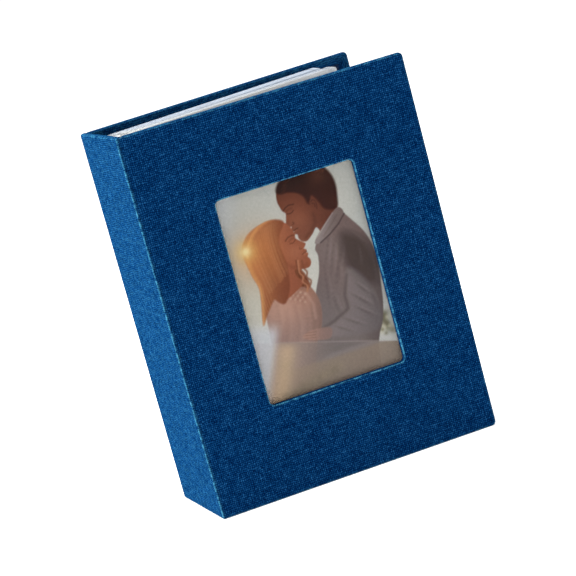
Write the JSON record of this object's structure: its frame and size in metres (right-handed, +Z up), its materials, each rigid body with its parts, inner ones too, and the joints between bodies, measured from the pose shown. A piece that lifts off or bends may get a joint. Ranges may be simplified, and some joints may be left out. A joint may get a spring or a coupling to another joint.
{
  "type": "photo album",
  "caption": "Upright cloth-bound photo album with a window in its hinged front cover, a print that slides out of the pocket behind it, and turning pocket leaves.",
  "frame": {"origin": "centre of the spine's foot, on the surface that the album stands on", "axes": "+X from the spine to the fore edge, +Y from the front cover to the back cover, +Z up along the spine"},
  "size_m": [0.133, 0.0657, 0.175],
  "materials": {
    "greyboard": "matte",
    "book_cloth": "matte",
    "clear_film": "gloss",
    "photo_print": "satin",
    "glue_strip": "matte",
    "infill_card": "matte",
    "lining_card": "matte",
    "page_stubs": "matte",
    "gauze": "matte",
    "pocket_leaf": "satin"
  },
  "bodies": {
    "spine": {"spine_board": "greyboard", "spine_cloth": "book_cloth", "spine_infill": "infill_card", "spine_lining": "lining_card", "binding_stubs": "page_stubs", "binding_gauze": "gauze"},
    "front_cover": {"front_board": "greyboard", "front_cloth": "book_cloth", "window_film": "clear_film", "front_infill": "infill_card", "pocket_glue_strip": "glue_strip", "front_lining": "lining_card"},
    "window_print": {"window_print": "photo_print"},
    "back_cover": {"back_board": "greyboard", "back_cloth": "book_cloth", "back_infill": "infill_card", "back_lining": "lining_card"},
    "leaf_01": {"leaf_01": "pocket_leaf"},
    "leaf_02": {"leaf_02": "pocket_leaf"},
    "leaf_03": {"leaf_03": "pocket_leaf"},
    "leaf_04": {"leaf_04": "pocket_leaf"},
    "leaf_05": {"leaf_05": "pocket_leaf"},
    "leaf_06": {"leaf_06": "pocket_leaf"},
    "leaf_07": {"leaf_07": "pocket_leaf"},
    "leaf_08": {"leaf_08": "pocket_leaf"},
    "leaf_09": {"leaf_09": "pocket_leaf"},
    "leaf_10": {"leaf_10": "pocket_leaf"},
    "leaf_11": {"leaf_11": "pocket_leaf"},
    "leaf_12": {"leaf_12": "pocket_leaf"},
    "leaf_13": {"leaf_13": "pocket_leaf"},
    "leaf_14": {"leaf_14": "pocket_leaf"},
    "leaf_15": {"leaf_15": "pocket_leaf"},
    "leaf_16": {"leaf_16": "pocket_leaf"},
    "leaf_17": {"leaf_17": "pocket_leaf"},
    "leaf_18": {"leaf_18": "pocket_leaf"},
    "leaf_19": {"leaf_19": "pocket_leaf"},
    "leaf_20": {"leaf_20": "pocket_leaf"},
    "leaf_21": {"leaf_21": "pocket_leaf"},
    "leaf_22": {"leaf_22": "pocket_leaf"},
    "leaf_23": {"leaf_23": "pocket_leaf"},
    "leaf_24": {"leaf_24": "pocket_leaf"},
    "leaf_25": {"leaf_25": "pocket_leaf"},
    "leaf_26": {"leaf_26": "pocket_leaf"},
    "leaf_27": {"leaf_27": "pocket_leaf"},
    "leaf_28": {"leaf_28": "pocket_leaf"}
  },
  "joints": [
    {"name": "front_hinge", "type": "hinge", "parent": "spine", "child": "front_cover", "pos_m": [-0.00155, -0.02625, 0], "axis": [0, 0, -1], "range_deg": [-5.7, 174.3]},
    {"name": "back_hinge", "type": "hinge", "parent": "spine", "child": "back_cover", "pos_m": [-0.00155, 0.02625, 0], "axis": [0, 0, 1], "range_deg": [0, 175]},
    {"name": "print_slide", "type": "slide", "parent": "front_cover", "child": "window_print", "axis": [0, 0, 1], "range_m": [0, 0.14]},
    {"name": "leaf_01_crease", "type": "hinge", "parent": "spine", "child": "leaf_01", "pos_m": [0.00345, -0.01345, 0], "axis": [0, 0, -1], "range_deg": [-2.86, 87.16]},
    {"name": "leaf_02_crease", "type": "hinge", "parent": "spine", "child": "leaf_02", "pos_m": [0.00385, -0.01251, 0], "axis": [0, 0, -1], "range_deg": [-2.68, 81.59]},
    {"name": "leaf_03_crease", "type": "hinge", "parent": "spine", "child": "leaf_03", "pos_m": [0.00425, -0.01157, 0], "axis": [0, 0, -1], "range_deg": [-2.5, 76.01]},
    {"name": "leaf_04_crease", "type": "hinge", "parent": "spine", "child": "leaf_04", "pos_m": [0.00465, -0.01063, 0], "axis": [0, 0, -1], "range_deg": [-2.32, 70.43]},
    {"name": "leaf_05_crease", "type": "hinge", "parent": "spine", "child": "leaf_05", "pos_m": [0.00505, -0.00969, 0], "axis": [0, 0, -1], "range_deg": [-2.14, 64.85]},
    {"name": "leaf_06_crease", "type": "hinge", "parent": "spine", "child": "leaf_06", "pos_m": [0.00545, -0.00875, 0], "axis": [0, 0, -1], "range_deg": [-1.95, 59.28]},
    {"name": "leaf_07_crease", "type": "hinge", "parent": "spine", "child": "leaf_07", "pos_m": [0.00585, -0.00781, 0], "axis": [0, 0, -1], "range_deg": [-1.77, 53.7]},
    {"name": "leaf_08_crease", "type": "hinge", "parent": "spine", "child": "leaf_08", "pos_m": [0.00625, -0.00686, 0], "axis": [0, 0, -1], "range_deg": [-1.59, 48.12]},
    {"name": "leaf_09_crease", "type": "hinge", "parent": "spine", "child": "leaf_09", "pos_m": [0.00665, -0.00592, 0], "axis": [0, 0, -1], "range_deg": [-1.41, 42.54]},
    {"name": "leaf_10_crease", "type": "hinge", "parent": "spine", "child": "leaf_10", "pos_m": [0.00705, -0.00498, 0], "axis": [0, 0, -1], "range_deg": [-1.22, 36.97]},
    {"name": "leaf_11_crease", "type": "hinge", "parent": "spine", "child": "leaf_11", "pos_m": [0.00745, -0.00404, 0], "axis": [0, 0, -1], "range_deg": [-1.04, 31.39]},
    {"name": "leaf_12_crease", "type": "hinge", "parent": "spine", "child": "leaf_12", "pos_m": [0.00785, -0.0031, 0], "axis": [0, 0, -1], "range_deg": [-0.86, 25.81]},
    {"name": "leaf_13_crease", "type": "hinge", "parent": "spine", "child": "leaf_13", "pos_m": [0.00825, -0.00216, 0], "axis": [0, 0, -1], "range_deg": [-0.68, 20.23]},
    {"name": "leaf_14_crease", "type": "hinge", "parent": "spine", "child": "leaf_14", "pos_m": [0.00865, -0.00122, 0], "axis": [0, 0, -1], "range_deg": [-0.49, 14.66]},
    {"name": "leaf_15_crease", "type": "hinge", "parent": "spine", "child": "leaf_15", "pos_m": [0.00905, -0.00028, 0], "axis": [0, 0, -1], "range_deg": [-0.31, 9.08]},
    {"name": "leaf_16_crease", "type": "hinge", "parent": "spine", "child": "leaf_16", "pos_m": [0.00945, 0.00066, 0], "axis": [0, 0, -1], "range_deg": [-0.13, 3.5]},
    {"name": "leaf_17_crease", "type": "hinge", "parent": "spine", "child": "leaf_17", "pos_m": [0.00785, 0.0016, 0], "axis": [0, 0, 1], "range_deg": [0, 8.41]},
    {"name": "leaf_18_crease", "type": "hinge", "parent": "spine", "child": "leaf_18", "pos_m": [0.00745, 0.00254, 0], "axis": [0, 0, 1], "range_deg": [0, 15.76]},
    {"name": "leaf_19_crease", "type": "hinge", "parent": "spine", "child": "leaf_19", "pos_m": [0.00705, 0.00348, 0], "axis": [0, 0, 1], "range_deg": [0, 23.11]},
    {"name": "leaf_20_crease", "type": "hinge", "parent": "spine", "child": "leaf_20", "pos_m": [0.00665, 0.00442, 0], "axis": [0, 0, 1], "range_deg": [0, 30.46]},
    {"name": "leaf_21_crease", "type": "hinge", "parent": "spine", "child": "leaf_21", "pos_m": [0.00625, 0.00536, 0], "axis": [0, 0, 1], "range_deg": [0, 37.81]},
    {"name": "leaf_22_crease", "type": "hinge", "parent": "spine", "child": "leaf_22", "pos_m": [0.00585, 0.00631, 0], "axis": [0, 0, 1], "range_deg": [0, 45.16]},
    {"name": "leaf_23_crease", "type": "hinge", "parent": "spine", "child": "leaf_23", "pos_m": [0.00545, 0.00725, 0], "axis": [0, 0, 1], "range_deg": [0, 52.51]},
    {"name": "leaf_24_crease", "type": "hinge", "parent": "spine", "child": "leaf_24", "pos_m": [0.00505, 0.00819, 0], "axis": [0, 0, 1], "range_deg": [0, 59.86]},
    {"name": "leaf_25_crease", "type": "hinge", "parent": "spine", "child": "leaf_25", "pos_m": [0.00465, 0.00913, 0], "axis": [0, 0, 1], "range_deg": [0, 67.21]},
    {"name": "leaf_26_crease", "type": "hinge", "parent": "spine", "child": "leaf_26", "pos_m": [0.00425, 0.01007, 0], "axis": [0, 0, 1], "range_deg": [0, 74.56]},
    {"name": "leaf_27_crease", "type": "hinge", "parent": "spine", "child": "leaf_27", "pos_m": [0.00385, 0.01101, 0], "axis": [0, 0, 1], "range_deg": [0, 81.92]},
    {"name": "leaf_28_crease", "type": "hinge", "parent": "spine", "child": "leaf_28", "pos_m": [0.00345, 0.01195, 0], "axis": [0, 0, 1], "range_deg": [0, 89.26]}
  ],
  "couplings": [
    {"joint": "leaf_01_crease", "follows": "front_hinge", "ratio": 0.5},
    {"joint": "leaf_02_crease", "follows": "front_hinge", "ratio": 0.468},
    {"joint": "leaf_03_crease", "follows": "front_hinge", "ratio": 0.436},
    {"joint": "leaf_04_crease", "follows": "front_hinge", "ratio": 0.404},
    {"joint": "leaf_05_crease", "follows": "front_hinge", "ratio": 0.372},
    {"joint": "leaf_06_crease", "follows": "front_hinge", "ratio": 0.34},
    {"joint": "leaf_07_crease", "follows": "front_hinge", "ratio": 0.308},
    {"joint": "leaf_08_crease", "follows": "front_hinge", "ratio": 0.276},
    {"joint": "leaf_09_crease", "follows": "front_hinge", "ratio": 0.244},
    {"joint": "leaf_10_crease", "follows": "front_hinge", "ratio": 0.212},
    {"joint": "leaf_11_crease", "follows": "front_hinge", "ratio": 0.18},
    {"joint": "leaf_12_crease", "follows": "front_hinge", "ratio": 0.148},
    {"joint": "leaf_13_crease", "follows": "front_hinge", "ratio": 0.116},
    {"joint": "leaf_14_crease", "follows": "front_hinge", "ratio": 0.084},
    {"joint": "leaf_15_crease", "follows": "front_hinge", "ratio": 0.052},
    {"joint": "leaf_16_crease", "follows": "front_hinge", "ratio": 0.02},
    {"joint": "leaf_17_crease", "follows": "back_hinge", "ratio": 0.048},
    {"joint": "leaf_18_crease", "follows": "back_hinge", "ratio": 0.09},
    {"joint": "leaf_19_crease", "follows": "back_hinge", "ratio": 0.132},
    {"joint": "leaf_20_crease", "follows": "back_hinge", "ratio": 0.174},
    {"joint": "leaf_21_crease", "follows": "back_hinge", "ratio": 0.216},
    {"joint": "leaf_22_crease", "follows": "back_hinge", "ratio": 0.258},
    {"joint": "leaf_23_crease", "follows": "back_hinge", "ratio": 0.3},
    {"joint": "leaf_24_crease", "follows": "back_hinge", "ratio": 0.342},
    {"joint": "leaf_25_crease", "follows": "back_hinge", "ratio": 0.384},
    {"joint": "leaf_26_crease", "follows": "back_hinge", "ratio": 0.426},
    {"joint": "leaf_27_crease", "follows": "back_hinge", "ratio": 0.468},
    {"joint": "leaf_28_crease", "follows": "back_hinge", "ratio": 0.51}
  ]
}
